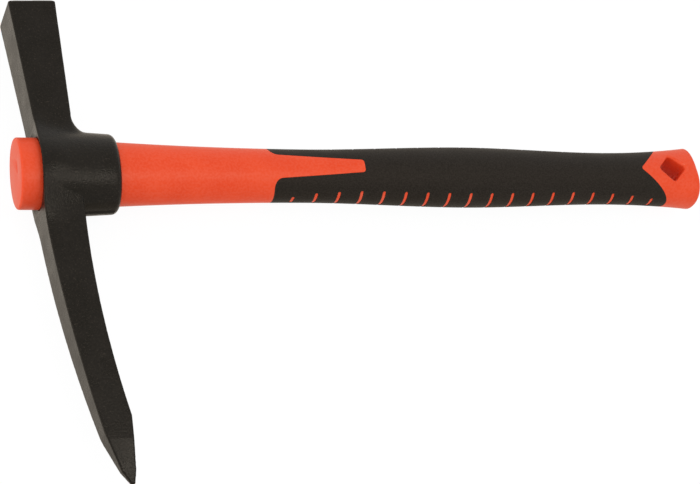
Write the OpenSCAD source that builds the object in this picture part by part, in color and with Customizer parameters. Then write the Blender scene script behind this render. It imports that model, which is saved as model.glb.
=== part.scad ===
// Mason's pick hammer: a forged head with a square hammer face and a pick point on a moulded handle.
// X runs along the handle from its button to its butt and Y from the pick point to the hammer face.
// The tool lies on its side: Z is up from the ground, and the ground is at zero.

/* [Handle] */
// Length of the whole handle
handle_len = 400; // [370:1:430]
// Height of the button that keeps the head on
button_h = 39.4; // [38.5:0.1:42]
// Width of the button that keeps the head on
button_w = 30; // [29.5:0.1:33]
// Height of the handle at the mouth of the eye
eye_h = 37.4; // [36:0.1:38]
// Width of the handle at the mouth of the eye
eye_w = 29; // [28:0.1:29.4]
// Height of the handle where it leaves the eye
exit_h = 35.7; // [33:0.1:36]
// Width of the handle where it leaves the eye
exit_w = 27.6; // [26:0.1:28.5]
// Place of the thinnest part of the neck, from the button
neck_at = 156; // [120:1:180]
// Height of the neck at its thinnest
neck_h = 30.3; // [26:0.1:34]
// Width of the neck at its thinnest
neck_w = 24.8; // [22:0.1:28]
// Place of the palm swell, from the end of the butt
palm_back = 144; // [120:1:160]
// Height of the palm swell
palm_h = 35.3; // [32:0.1:38]
// Width of the palm swell
palm_w = 28.8; // [26:0.1:31]
// Place of the pinch behind the palm, from the end of the butt
pinch_back = 59; // [50:1:80]
// Height of the pinch
pinch_h = 31.1; // [28:0.1:34]
// Width of the pinch
pinch_w = 25.6; // [23:0.1:28]
// Height of the butt at its end
butt_h = 36.6; // [33:0.1:39]
// Width of the butt at its end
butt_w = 26.6; // [24.5:0.1:29]
// Part by which the butt is slimmer above its middle and fuller below
butt_egg_share = 0.2; // [0:0.01:0.24]
// Part by which the top of the butt is squarer than an oval
butt_square_share = 0.22; // [0:0.01:0.25]
// Height by which the middle of the butt's end is lifted
butt_lift = 0.6; // [0:0.1:1.2]
// Rounding of the rim of the button
button_round = 1.2; // [0.4:0.1:2]
// Rounding of the rim of the butt
butt_round = 1.5; // [0.8:0.1:3]

/* [Hanging hole] */
// Side of the square hanging hole
hole_side = 11.4; // [7:0.1:12.5]
// Rounding of the corners of the hanging hole
hole_round = 2; // [0.8:0.1:2.5]
// Place of the middle of the hanging hole, from the end of the butt
hole_back = 16.9; // [15:0.1:20]

/* [Soft grip] */
// Thickness of the soft skin
skin_t = 2; // [1.5:0.1:3]
// Place where the soft skin starts, from the button
grip_at = 137; // [110:1:150]
// Length of the bare tongue that runs into the soft skin on each side
tongue_len = 53; // [30:1:70]
// Height of the tongue at its root
tongue_root_h = 12.8; // [9:0.1:16]
// Height of the tongue at its tip
tongue_tip_h = 6.4; // [4:0.1:8]
// Rounding of the corners of the skin beside the tongue
tongue_round = 5; // [2:0.1:7]
// Distance from the point of the bare butt to the end of the butt
butt_len = 36.5; // [32:0.5:45]
// Angle between the handle and the edge of the bare butt
butt_angle = 44; // [38:1:55]
// Rounding of the inner corners of the edge of the skin
edge_round = 1.6; // [0.4:0.1:2.4]

/* [Slots] */
// Width of a slot through the skin
slot_w = 2.1; // [1.4:0.1:2.8]
// Distance from one slot to the next
slot_pitch = 13; // [9:0.1:18]
// Distance from the start of the skin to the first slot
slot_lead = 12; // [8:0.5:20]
// Depth of the bare rib below the surface of the skin
rib_sink = 0.4; // [0.2:0.1:1.2]
// Part of the width of the handle that a full slot spans
slot_full_share = 0.58; // [0.4:0.01:0.7]
// Part of the width of the handle that the first and last slots span
slot_short_share = 0.35; // [0.2:0.01:0.45]

/* [Core] */
// Diameter of the stiffening rod
core_d = 15; // [10:0.5:17]
// Plastic between the end of the button and the rod
core_cover = 5; // [3:0.5:10]
// Distance from the end of the rod to the end of the butt
core_back = 42; // [36:1:80]

/* [Eye boss] */
// Length of the button that stands out of the head
button_len = 10.3; // [8:0.1:14]
// Length of the eye through the boss and its collar
eye_len = 42.2; // [37:0.1:47]
// Height of the boss at the outer face of the head
boss_h = 49; // [47:0.1:54]
// Width of the boss across its cheeks
boss_w = 37.6; // [36:0.1:42]
// Draft of the collar towards the handle, in degrees
collar_draft = 3.1; // [1:0.1:3.5]
// Rounding of the end of the collar
collar_round = 3.2; // [1.5:0.1:3.5]
// Length along each arm over which the cheeks of the boss fade away
boss_fade = 28; // [25:0.5:32]
// Length along the outer edges of the pick over which they fade away
rim_fade = 38; // [33:0.5:44]
// Widening of the mouth of the eye
mouth_flare = 0.8; // [0.3:0.1:1.2]

/* [Hammer arm] */
// Distance from the middle of the handle to the middle of the hammer face
hammer_reach = 99.3; // [80:0.1:115]
// Side of the square hammer face
hammer_face = 25.6; // [22:0.1:28]
// Thickness of the hammer arm at its root
hammer_root_t = 20; // [17:0.1:22]
// Width of the hammer arm at its root
hammer_root_w = 21; // [18:0.1:24]
// Distance that the hammer face stands out past the outer face of the eye
hammer_flare = 7.4; // [3:0.1:9]
// Distance from the middle of the handle to the start of the slant of the hammer arm
slant_at = 24; // [20:0.5:26]
// Fillet between the hammer arm and the collar
hammer_fillet = 8.6; // [6:0.1:10]
// Bevel round the hammer face
face_bevel = 1.4; // [0.6:0.1:2.5]
// Lean of the hammer face, which stands square to its slanting arm, in degrees
face_lean = 3.1; // [0:0.1:5]

/* [Pick arm] */
// Distance from the middle of the handle to the tip of the pick
pick_reach = 171.5; // [150:0.1:190]
// Thickness of the pick at its root
pick_root_t = 21.5; // [18:0.1:23]
// Width of the pick at its root
pick_root_w = 19.5; // [16:0.1:22]
// Length of the point, from its tip to the start of its inner bevel
point_len = 34; // [29:0.1:38]
// Length from the tip to the start of the outer bevel of the point
bevel_len = 25.3; // [24:0.1:27]
// Length from the tip to the start of the bevels on the cheeks of the point
cheek_len = 22.2; // [18:0.1:23.5]
// Thickness of the pick where the point starts
point_t = 16.6; // [13:0.1:18]
// Width of the pick where the point starts
point_w = 11.9; // [9:0.1:14]
// Radius of the bend of the pick towards the handle
pick_bend = 480; // [400:1:700]
// Thickness of the pick where the blunt nose starts
nose_t = 7.4; // [5:0.1:9]
// Width of the pick where the blunt nose starts
nose_w = 4.2; // [2.8:0.1:5.5]
// Length of the blunt nose
nose_len = 6.7; // [3:0.1:9]
// Thickness and width of the blunt tip
tip_t = 2; // [1.5:0.1:2.4]
// Distance that the inner bevel falls back from its root to the nose
nose_back = 0.3; // [0:0.1:1.5]
// Distance that the tip stands back from the inner side of the nose
tip_back = 1.1; // [0:0.1:2]
// Rounding of the long edges of both arms
arm_round = 0.6; // [0.4:0.1:1.5]

/* [Fits] */
// Clearance between the handle and the eye
eye_gap = 0.2; // [0.1:0.05:0.4]
// Clearance between pieces that are moulded together
mould_gap = 0.1; // [0.05:0.05:0.2]

/* [Hidden] */

// Lengths past a surface for cuts
overrun = 3;

// Smoothness: sides of the handle, greatest distance between its rings, sides of a round, steps of a corner
handle_sides = 36;
ring_step = 12;
round_sides = 48;
corner_steps = 4;
rim_steps = 3;

// Places along the handle
button_shoulder = 0.8;
button_step = button_len - button_shoulder;
eye_end = button_len + eye_len;
palm_at = handle_len - palm_back;
pinch_at = handle_len - pinch_back;
butt_point = handle_len - butt_len;
hole_at = handle_len - hole_back;
core_end = handle_len - core_back;

// Sections of the handle: place, height, width and the curve that leads to it
sections = [
    [0, button_h, button_w, "straight"],
    [button_step, button_h, button_w, "straight"],
    [button_len, eye_h, eye_w, "straight"],
    [eye_end, exit_h, exit_w, "straight"],
    [neck_at, neck_h, neck_w, "settle"],
    [palm_at, palm_h, palm_w, "ease"],
    [pinch_at, pinch_h, pinch_w, "ease"],
    [handle_len, butt_h, butt_w, "rise"],
];

// Soft skin: how far it runs under the butt and how high its outlines are drawn
skin_end = butt_point + butt_h / 2 / tan(butt_angle) + skin_t;
outline_h = 2 * max(palm_h, butt_h, eye_h);

// Slots: one pair at each place that fits before the bare butt
slot_first = grip_at + slot_lead;
slot_past = 7.5;
slot_last = butt_point + slot_past;
slot_count = floor((slot_last - slot_first) / slot_pitch) + 1;
slot_fade_count = 4;

// Head: slopes of the collar and of the hammer face, highest edge of that face
collar_slope = tan(collar_draft);
face_slope = tan(face_lean);
face_top = hammer_reach + face_slope * (hammer_face / 2 - face_bevel);

// Head: start and ends of the fillet, start of the pick's taper and bend
root_at = boss_fade / 2;
fillet_low = boss_h / 2 - collar_slope * (hammer_root_t + hammer_fillet);
fillet_top = fillet_low + hammer_fillet;
taper_lead = 6;
taper_at = taper_lead - boss_fade;
bend_lead = 3;
bend_at = -boss_fade - bend_lead;

// Head: places along the point
point_at = point_len - pick_reach;
bevel_at = bevel_len - pick_reach;
cheek_at = cheek_len - pick_reach;
nose_at = nose_len - pick_reach;

// Boss: where its cheeks leave the collar, rounding of their inner corners
leave_at = 11;
leave_len = 8;
boss_round = 9.6;

// Move from the drawing, with the button's end at zero and the handle on the X axis, to the ground
ground_shift = [-handle_len / 2, (pick_reach - face_top) / 2, boss_w / 2];

// Shares along a curve between two sections
function curve(kind, t) =
    kind == "settle" ? 1 - (1 - t) ^ 2
    : kind == "ease" ? t * t * (3 - 2 * t)
    : kind == "rise" ? t * t
    : t;
function mix(a, b, t) = a + (b - a) * t;

// Height and width of the handle at a place along it
function handle_size(x, i = 1) =
    x > sections[i][0] && i < len(sections) - 1
    ? handle_size(x, i + 1)
    : let (a = sections[i - 1], b = sections[i], t = curve(b[3], (x - a[0]) / (b[0] - a[0])))
      [mix(a[1], b[1], t), mix(a[2], b[2], t)];

// Even places from one to another that are no further apart than the step
function places(from, to, step) =
    let (n = max(1, ceil((to - from) / step)))
    [for (i = [0 : n]) mix(from, to, i / n)];

// Oval ring of the handle, drawn in by an inset, and an egg with a square top towards the end of the butt
function oval_ring(x, inset) =
    let (size = handle_size(x), end = curve("rise", max(0, (x - pinch_at) / (handle_len - pinch_at))))
    let (egg = butt_egg_share * end)
    [for (k = [0 : handle_sides - 1])
        let (a = 360 * k / handle_sides, power = 1 - (a < 180 ? butt_square_share * end : 0))
        let (y = sign(sin(a)) * abs(sin(a)) ^ power, z = sign(cos(a)) * abs(cos(a)) ^ power)
        [x, (size[0] / 2 - inset) * y + butt_lift * end, (size[1] / 2 - inset) * z * (1 - egg * sin(a))]];

// Rings that round off an end of the handle; the side is 1 at the butt and -1 at the button
function rim_rings(x, radius, side) =
    [for (i = [0 : rim_steps])
        let (a = side > 0 ? 90 * i / rim_steps : 90 - 90 * i / rim_steps)
        oval_ring(x + side * radius * (sin(a) - 1), radius * (1 - cos(a)))];

// Closed skin over rings that all have the same number of points
module skin(rings) {
    n = len(rings[0]);
    last = len(rings) - 1;
    sides = [for (i = [0 : last - 1]) for (k = [0 : n - 1])
        let (a = i * n + k, b = i * n + (k + 1) % n)
        each [[a, b, b + n], [a, b + n, a + n]]];
    first_lid = [for (k = [0 : n - 1]) n - 1 - k];
    last_lid = [for (k = [0 : n - 1]) last * n + k];
    polyhedron([for (ring = rings) each ring], concat([first_lid], sides, [last_lid]));
}

// The whole outer form of the handle
module handle_form() {
    stops = [button_round, button_step, button_len, eye_end, handle_len - butt_round];
    middle = [for (i = [1 : len(stops) - 1])
        each [for (x = places(stops[i - 1], stops[i], ring_step)) if (x > stops[i - 1]) x]];
    skin(concat(
        rim_rings(0, button_round, -1),
        [for (x = middle) if (x < handle_len - butt_round) oval_ring(x, 0)],
        rim_rings(handle_len, butt_round, 1)));
}

// A stretch of the handle, drawn in by an inset
module handle_stretch(from, to, inset) {
    skin([for (x = places(from, to, ring_step)) oval_ring(x, inset)]);
}

// Outline of the bare tongue, seen from the side
module tongue_outline() {
    polygon([
        [grip_at - overrun, -tongue_root_h / 2],
        [grip_at, -tongue_root_h / 2],
        [grip_at + tongue_len, -tongue_tip_h / 2],
        [grip_at + tongue_len, tongue_tip_h / 2],
        [grip_at, tongue_root_h / 2],
        [grip_at - overrun, tongue_root_h / 2],
    ]);
}

// Outline of the bare butt, which points at the hand
module butt_outline() {
    run = outline_h / tan(butt_angle);
    polygon([
        [butt_point, 0],
        [butt_point + run, outline_h],
        [butt_point + run + handle_len, 0],
        [butt_point + run, -outline_h],
    ]);
}

// Outline of the soft skin, seen from the side, with its corners rounded
module skin_outline() {
    offset(r = -edge_round) offset(delta = edge_round)
    offset(r = tongue_round) offset(delta = -tongue_round)
    difference() {
        translate([grip_at, -outline_h]) square([handle_len - grip_at, outline_h * 2]);
        tongue_outline();
        butt_outline();
    }
}

// Space of the soft skin, through the whole width of the tool, grown by a gap
module skin_space(gap) {
    linear_extrude(eye_w * 2, center = true) offset(delta = gap) skin_outline();
}

// Part of the width that a slot spans: shorter slots towards both ends of the row
function slot_share(i) =
    let (nearest = min(i, slot_count - 1 - i), fade = max(0, 1 - nearest / slot_fade_count))
    mix(slot_full_share, slot_short_share, fade ^ 2);

// All slots through the soft skin, above and below, each with round ends
module slots(width) {
    for (i = [0 : slot_count - 1]) {
        x = slot_first + i * slot_pitch;
        end = (handle_size(x)[1] * slot_share(i) - slot_w) / 2;
        rotate([90, 0, 0]) linear_extrude(outline_h, center = true) union() {
            for (side = [-1, 1]) translate([x, side * end]) circle(d = width, $fn = round_sides / 2);
            translate([x - width / 2, -end]) square([width, end * 2]);
        }
    }
}

// The square hanging hole, set on its corner, with round corners
module hanging_hole() {
    flat = hole_side - hole_round * 2;
    translate([hole_at, 0]) rotate(45) linear_extrude(eye_w * 2, center = true) union() {
        square([flat, hole_side], center = true);
        square([hole_side, flat], center = true);
        for (x = [-flat / 2, flat / 2]) for (y = [-flat / 2, flat / 2]) {
            translate([x, y]) circle(r = hole_round, $fn = round_sides);
        }
    }
}

// Round space along the handle for the rod
module core_space(gap) {
    translate([core_cover - gap, 0]) rotate([0, 90, 0])
        cylinder(d = core_d + gap * 2, h = core_end - core_cover + gap * 2, $fn = round_sides);
}

// Glass-fibre rod inside the handle
module core_rod() {
    color("wheat") translate(ground_shift) core_space(0);
}

// Hard plastic moulding: button, neck, tongues, ribs under the slots and butt
module handle_body() {
    color("orangered") translate(ground_shift) difference() {
        union() {
            difference() {
                handle_form();
                skin_space(mould_gap);
            }
            handle_stretch(grip_at - skin_t, skin_end, skin_t + mould_gap);
            intersection() {
                handle_stretch(grip_at, skin_end, rib_sink);
                slots(slot_w - mould_gap * 2);
            }
        }
        core_space(mould_gap);
        hanging_hole();
    }
}

// Soft rubber skin over the body
module soft_grip() {
    color("dimgray") translate(ground_shift) difference() {
        intersection() {
            handle_stretch(grip_at - overrun, skin_end + overrun, 0);
            skin_space(0);
        }
        handle_stretch(grip_at - overrun * 2, skin_end + overrun * 2, skin_t);
        slots(slot_w);
    }
}

// How much of the swell of the boss is left at a distance from the handle
function swell(y, fade) = abs(y) < fade ? (1 + cos(180 * y / fade)) / 2 : 0;

// Share of the way from the boss to the hammer face or to the root of the point
function hammer_way(y) = max(0, (y - slant_at) / (hammer_reach - slant_at));
function pick_way(y) = max(0, (taper_at - y) / (taper_at - point_at));

// Outer side of the head, away from the handle, at a distance from the handle
function outer_side(y) =
    y > taper_at ? button_len - hammer_flare * hammer_way(y)
    : inner_side(y) - mix(pick_root_t, point_t, curve("settle", pick_way(y)));

// Inner side of the head, towards the handle, at a distance from the handle
function inner_side(y) =
    let (ease = curve("ease", min(1, max(0, (y - taper_at) / (slant_at - taper_at)))))
    let (root = button_len + mix(pick_root_t, hammer_root_t, ease))
    y > taper_at ? mix(root, button_len - hammer_flare + hammer_face, hammer_way(y)) + fillet_out(y)
    : root + min(0, y - bend_at) ^ 2 / (2 * pick_bend);

// How much of the fillet beside the hammer arm is left where it has sunk into the collar
function fillet_left(y) = min(1, max(0, (y - root_at) / (fillet_low - root_at)));

// How far the fillet beside the hammer arm reaches along the collar
function fillet_out(y) =
    let (drop = min(hammer_fillet, max(0, fillet_top - y)))
    (hammer_fillet - sqrt(hammer_fillet ^ 2 - drop ^ 2)) * fillet_left(y);

// How much the inner side of a ring sags to follow the round top of the collar
function fillet_sag(y) = min(1, max(0, (fillet_top - y) / hammer_fillet)) * fillet_left(y);
function collar_sag(z) = boss_h / 2 * (1 - sqrt(1 - min(1, 2 * z / boss_w) ^ 2));

// Lengths over which the cheeks fade away, at the outer edges and on the inner side that leaves the collar
function outer_fade(y) = y > 0 ? boss_fade : rim_fade;
function inner_fade(y) = mix(boss_fade, rim_fade, min(1, max(0, (-y - leave_at) / leave_len)));

// Half width of the head at a distance from the handle, without and with the cheeks of the boss
function arm_half(y) =
    y > 0 ? mix(hammer_root_w, hammer_face, hammer_way(y)) / 2
    : mix(pick_root_w, point_w, pick_way(y)) / 2;
function half_width(y, fade) = mix(arm_half(y), boss_w / 2, swell(y, fade));

// Ring across an arm with round corners, whose inner and outer side can differ and whose inner side can sag
function arm_ring(y, out, in, halves, outer_r, inner_r, lean = 0, sag = 0) =
    [for (corner = [[1, 1, 0], [-1, 1, 90], [-1, -1, 180], [1, -1, 270]])
        let (radius = corner[0] > 0 ? inner_r : outer_r, half = halves[corner[0] > 0 ? 1 : 0])
        for (i = [0 : corner_steps])
            let (a = corner[2] + 90 * i / corner_steps)
            let (x = (corner[0] > 0 ? in - radius : out + radius) + radius * cos(a))
            let (z = corner[1] * (half - radius) + radius * sin(a))
            [x, y + lean * (x - (in + out) / 2) - sag * collar_sag(abs(z)) * (x - out) / (in - out), z]];

// Ring of an arm that follows the outlines of the head
function body_ring(y) =
    let (inner_r = max(mix(arm_round, boss_round, swell(y, boss_fade)), arm_round + fillet_out(y)))
    let (lean = face_slope * curve("rise", hammer_way(y)))
    let (halves = [half_width(y, outer_fade(y)), half_width(y, inner_fade(y))])
    arm_ring(y, outer_side(y), inner_side(y), halves, arm_round, inner_r, lean, fillet_sag(y));

// Inner and outer side of the point
function point_inner(y) = inner_side(point_at) - nose_back * (point_at - y) / (point_at - nose_at);
function point_outer(y) =
    mix(outer_side(bevel_at), point_inner(nose_at) - nose_t, (bevel_at - y) / (bevel_at - nose_at));

// Ring of the point
function point_ring(y, out, in, half, round_r) = arm_ring(y, out, in, [half, half], round_r, round_r);

// Both arms and the cheeks of the boss in one run from the tip of the pick to the hammer face
module arms() {
    tip_round = tip_t / 4;
    nose_in = point_inner(nose_at);
    tip_in = nose_in - tip_back;
    face_half = hammer_face / 2 - face_bevel;
    point_rings = [
        point_ring(-pick_reach, tip_in - tip_t, tip_in, tip_t / 2, tip_round),
        point_ring(nose_at, nose_in - nose_t, nose_in, nose_w / 2, tip_round),
        point_ring(cheek_at, point_outer(cheek_at), point_inner(cheek_at), arm_half(cheek_at), arm_round),
        point_ring(bevel_at, outer_side(bevel_at), point_inner(bevel_at), arm_half(bevel_at), arm_round)];
    face_root = hammer_reach - face_bevel;
    face_out = outer_side(hammer_reach) + face_bevel;
    face_in = inner_side(hammer_reach) - face_bevel;
    face_halves = [face_half, face_half];
    face_ring = arm_ring(hammer_reach, face_out, face_in, face_halves, arm_round, arm_round, face_slope);
    skin(concat(
        point_rings,
        [for (y = places(point_at, bend_at, ring_step)) body_ring(y)],
        [for (y = places(bend_at, 0, ring_step / 4)) if (y > bend_at) body_ring(y)],
        [for (y = places(0, fillet_top, ring_step / 4)) if (y > 0) body_ring(y)],
        [for (y = places(fillet_top, face_root, ring_step * 2)) if (y > fillet_top) body_ring(y)],
        [face_ring]));
}

// Oval ring of the collar, drawn in by an inset
function collar_ring(x, inset) =
    let (draw = collar_slope * (x - button_len) + inset)
    [for (k = [0 : handle_sides - 1])
        let (a = 360 * k / handle_sides)
        [x, (boss_h / 2 - draw) * sin(a), (boss_w / 2 - draw) * cos(a)]];

// Collar round the handle, with a rounded end
module collar() {
    start = button_len + hammer_root_t / 2;
    skin(concat(
        [for (x = places(start, eye_end - collar_round, ring_step)) collar_ring(x, 0)],
        [for (i = [1 : corner_steps])
            let (a = 90 * i / corner_steps)
            collar_ring(eye_end - collar_round * (1 - sin(a)), collar_round * (1 - cos(a)))]));
}

// Tapered eye for the handle, with a widened mouth
module eye() {
    mouth_end = button_len + mouth_flare * 2;
    mouth_grow = eye_gap + mouth_flare;
    skin(concat(
        [oval_ring(button_len - overrun, -mouth_grow), oval_ring(button_len, -mouth_grow)],
        [for (x = places(mouth_end, eye_end, ring_step)) oval_ring(x, -eye_gap)],
        [oval_ring(eye_end + overrun, -eye_gap)]));
}

// Steel forging: hammer arm, boss with collar and pick
module forged_head() {
    color("darkslategray") translate(ground_shift) difference() {
        union() {
            arms();
            collar();
        }
        eye();
    }
}

forged_head();
handle_body();
soft_grip();
core_rod();
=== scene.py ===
"""Looks of a mason's pick hammer: a forged head on a moulded handle with a soft grip.

The sizes of the tool are in millimetres, in a drawing of its own: X along the handle from the end of its
button, Y across the head towards the hammer face, Z out of the upper cheek, with the handle on the X axis.
The camera has its place in the same drawing. The floor and the lamps are in metres. Angles are in degrees.
"""
import logging
import math
from dataclasses import dataclass, field
from enum import Enum
from typing import Callable, ClassVar, Iterable, Sequence

import bmesh
import bpy
from mathutils import Matrix, Vector


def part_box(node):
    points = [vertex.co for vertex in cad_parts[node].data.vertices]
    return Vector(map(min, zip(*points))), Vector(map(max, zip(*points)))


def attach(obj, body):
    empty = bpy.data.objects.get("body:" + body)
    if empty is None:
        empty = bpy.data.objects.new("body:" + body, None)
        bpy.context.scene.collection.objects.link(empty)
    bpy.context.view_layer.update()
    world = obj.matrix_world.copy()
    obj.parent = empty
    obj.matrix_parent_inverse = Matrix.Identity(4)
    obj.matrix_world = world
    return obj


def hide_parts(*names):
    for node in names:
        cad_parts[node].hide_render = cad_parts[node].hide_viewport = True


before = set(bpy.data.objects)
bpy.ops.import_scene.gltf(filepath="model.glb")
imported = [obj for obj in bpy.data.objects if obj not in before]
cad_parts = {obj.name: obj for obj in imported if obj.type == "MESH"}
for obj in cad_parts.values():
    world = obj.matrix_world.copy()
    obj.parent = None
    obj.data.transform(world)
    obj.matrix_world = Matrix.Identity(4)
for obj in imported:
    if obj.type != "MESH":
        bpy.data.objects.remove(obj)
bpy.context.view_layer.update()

# Metres in a millimetre
MM = 0.001
# Distance in millimetres under which two points of an outline count as one
SAME_POINT = 0.001
LOG = logging.getLogger("pick_hammer")
Ring = list[Vector]
Outline = list[tuple[float, float]]
Lift = Callable[[float, float, float], Vector]
Colour = tuple[float, float, float, float]
Piece = bpy.types.Object
Socket = bpy.types.NodeSocket
Tree = bpy.types.NodeTree
WHITE: Colour = (1, 1, 1, 1)


class Curve(Enum):
    """How a size changes from one section of the handle to the next."""

    STRAIGHT = "straight"
    SETTLE = "settle"
    EASE = "ease"
    RISE = "rise"

    def share(self, t: float) -> float:
        """Gives the share of the change that is done.

        Args:
            t: Share of the way along the stretch, from 0 to 1.

        Returns:
            Share of the change, from 0 to 1.
        """
        shapes: dict[Curve, Callable[[float], float]] = {
            Curve.STRAIGHT: lambda s: s,
            Curve.SETTLE: lambda s: 1 - (1 - s) ** 2,
            Curve.EASE: lambda s: s * s * (3 - 2 * s),
            Curve.RISE: lambda s: s * s,
        }
        return shapes[self](t)


class Join(Enum):
    """Ways to combine two solids."""

    ADD = "UNION"
    CUT = "DIFFERENCE"
    COMMON = "INTERSECT"


class Reckoning(Enum):
    """Ways to work out one shader value from two."""

    ADD = "ADD"
    TIMES = "MULTIPLY"
    ABOVE = "GREATER_THAN"
    GREATER = "MAXIMUM"


def mix(a: float, b: float, t: float) -> float:
    """Gives the value that lies a share of the way from one value to another."""
    return a + (b - a) * t


def clamp(value: float, low: float = 0.0, high: float = 1.0) -> float:
    """Keeps a value between two limits."""
    return max(low, min(high, value))


def places(start: float, end: float, step: float) -> list[float]:
    """Gives even places along a stretch.

    Args:
        start: First place.
        end: Last place.
        step: Greatest distance between neighbours.

    Returns:
        The places, both ends included.
    """
    count = max(1, math.ceil((end - start) / step))
    return [mix(start, end, i / count) for i in range(count + 1)]


def full_turn(sides: int) -> list[float]:
    """Gives the angles of even steps all the way round."""
    return [2 * math.pi * k / sides for k in range(sides)]


def quarter_turn(steps: int) -> list[float]:
    """Gives the angles of even steps through a right angle, both ends included."""
    return [math.pi / 2 * i / steps for i in range(steps + 1)]


def corner_turns(steps: int) -> list[tuple[int, int, float]]:
    """Goes round the four rounded corners of a rectangle.

    Args:
        steps: Straight pieces in each rounding.

    Returns:
        For each point the signs of its corner along both axes, and the angle inside the rounding.
    """
    signs = ((1, 1), (-1, 1), (-1, -1), (1, -1))
    return [(a, b, math.pi / 2 * (index + step / steps))
            for index, (a, b) in enumerate(signs) for step in range(steps + 1)]


def origin_of_drawing() -> Vector:
    """Gives the point of the frame, in metres, where the drawing has its origin."""
    low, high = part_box("handle_body")
    return Vector((low.x, (low.y + high.y) / 2, (low.z + high.z) / 2))


ORIGIN = origin_of_drawing()


def at(x: float, y: float, z: float) -> Vector:
    """Turns a point of the drawing, in millimetres, into a point of the frame, in metres."""
    return ORIGIN + Vector((x, y, z)) * MM


def deselect_all() -> None:
    """Leaves edit mode and deselects every object."""
    if bpy.context.object and bpy.context.object.mode != "OBJECT":
        bpy.ops.object.mode_set(mode="OBJECT")
    bpy.ops.object.select_all(action="DESELECT")


def make_active(piece: Piece) -> None:
    """Selects one object alone and makes it the active one.

    Args:
        piece: Object to select.
    """
    deselect_all()
    piece.select_set(True)
    bpy.context.view_layer.objects.active = piece


class Loft:
    """A closed solid that is drawn out of a flat outline, ring by ring."""

    SEAT = "seat"

    def __init__(self, name: str, first: Ring) -> None:
        """Starts the solid.

        Args:
            name: Name of the new object.
            first: Points of the first ring, in the frame.
        """
        deselect_all()
        bpy.ops.mesh.primitive_circle_add(vertices=len(first), radius=MM, fill_type="NGON")
        self.piece = bpy.context.object
        self.piece.name = name
        bpy.ops.object.mode_set(mode="EDIT")
        bpy.ops.mesh.select_all(action="SELECT")
        mesh = bmesh.from_edit_mesh(self.piece.data)
        seat = mesh.verts.layers.int.new(self.SEAT)
        for index, vert in enumerate(mesh.verts):
            vert[seat] = index
        self._place(first)

    def _place(self, ring: Ring) -> None:
        """Moves the selected points to their seats on a ring.

        Args:
            ring: Points of the ring, in the frame.
        """
        mesh = bmesh.from_edit_mesh(self.piece.data)
        seat = mesh.verts.layers.int[self.SEAT]
        for vert in mesh.verts:
            if vert.select:
                vert.co = ring[vert[seat]]
        bmesh.update_edit_mesh(self.piece.data)

    def draw_to(self, ring: Ring) -> None:
        """Extrudes the last face and fits it to the next ring."""
        bpy.ops.mesh.extrude_region_move(TRANSFORM_OT_translate={"value": (0, 0, MM)})
        self._place(ring)

    def close(self) -> Piece:
        """Turns all faces outwards and gives the finished object.

        Returns:
            The closed solid.
        """
        bpy.ops.mesh.select_all(action="SELECT")
        bpy.ops.mesh.normals_make_consistent(inside=False)
        bpy.ops.object.mode_set(mode="OBJECT")
        self.piece.data.attributes.remove(self.piece.data.attributes[self.SEAT])
        return self.piece


def loft(name: str, rings: Sequence[Ring]) -> Piece:
    """Draws a solid through a row of rings.

    Args:
        name: Name of the new object.
        rings: Rings that all have the same number of points.

    Returns:
        The closed solid.
    """
    solid = Loft(name, rings[0])
    for ring in rings[1:]:
        solid.draw_to(ring)
    return solid.close()


def place_new(name: str, data: bpy.types.ID) -> Piece:
    """Puts a new object into the scene.

    Args:
        name: Name of the object.
        data: Its mesh, camera or lamp.

    Returns:
        The new object.
    """
    made = bpy.data.objects.new(name, data)
    bpy.context.scene.collection.objects.link(made)
    return made


def modify(piece: Piece, kind: str, **settings: object) -> None:
    """Gives a piece a modifier and applies it at once.

    Args:
        piece: Object that is changed.
        kind: Type of the modifier.
        **settings: Properties of the modifier.
    """
    step = piece.modifiers.new(kind.lower(), kind)
    for key, value in settings.items():
        setattr(step, key, value)
    make_active(piece)
    bpy.ops.object.modifier_apply(modifier=step.name)


def combine(piece: Piece, tool: Piece, how: Join) -> None:
    """Combines a solid with another one, which is used up."""
    modify(piece, "BOOLEAN", operation=how.value, solver="EXACT", object=tool)
    bpy.data.objects.remove(tool)


def join_solids(name: str, solids: Sequence[Piece]) -> Piece:
    """Joins separate solids into one object without changing their shapes.

    Args:
        name: Name of the joined object.
        solids: Objects to join.

    Returns:
        The joined object.
    """
    make_active(solids[0])
    for solid in solids[1:]:
        solid.select_set(True)
    bpy.ops.object.join()
    joined = bpy.context.object
    joined.name = name
    return joined


def smooth_by_angle(piece: Piece, degrees: float) -> None:
    """Shades a piece smooth, apart from edges that are sharper than an angle."""
    make_active(piece)
    bpy.ops.object.shade_smooth_by_angle(angle=math.radians(degrees))


def rounded(corners: Sequence[tuple[float, float, float]], steps: int) -> Outline:
    """Rounds the corners of a closed outline.

    Args:
        corners: Corners as x, y and the radius of the rounding, 0 for a sharp one.
        steps: Straight pieces in each rounding.

    Returns:
        Points of the rounded outline.
    """
    points: Outline = []
    for index, (x, y, radius) in enumerate(corners):
        corner = Vector((x, y))
        before = Vector(corners[index - 1][:2]) - corner
        after = Vector(corners[(index + 1) % len(corners)][:2]) - corner
        if radius <= 0:
            points.append((x, y))
            continue
        half = before.angle(after) / 2
        reach = radius / math.tan(half)
        inward = (before.normalized() + after.normalized()).normalized()
        middle = corner + inward * (radius / math.sin(half))
        first = corner + before.normalized() * reach - middle
        last = corner + after.normalized() * reach - middle
        turn = first.angle_signed(last)
        for step in range(steps + 1):
            point = middle + Matrix.Rotation(-turn * step / steps, 2) @ first
            if not points or (point - Vector(points[-1])).length > SAME_POINT:
                points.append(tuple(point))
    return points


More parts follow.
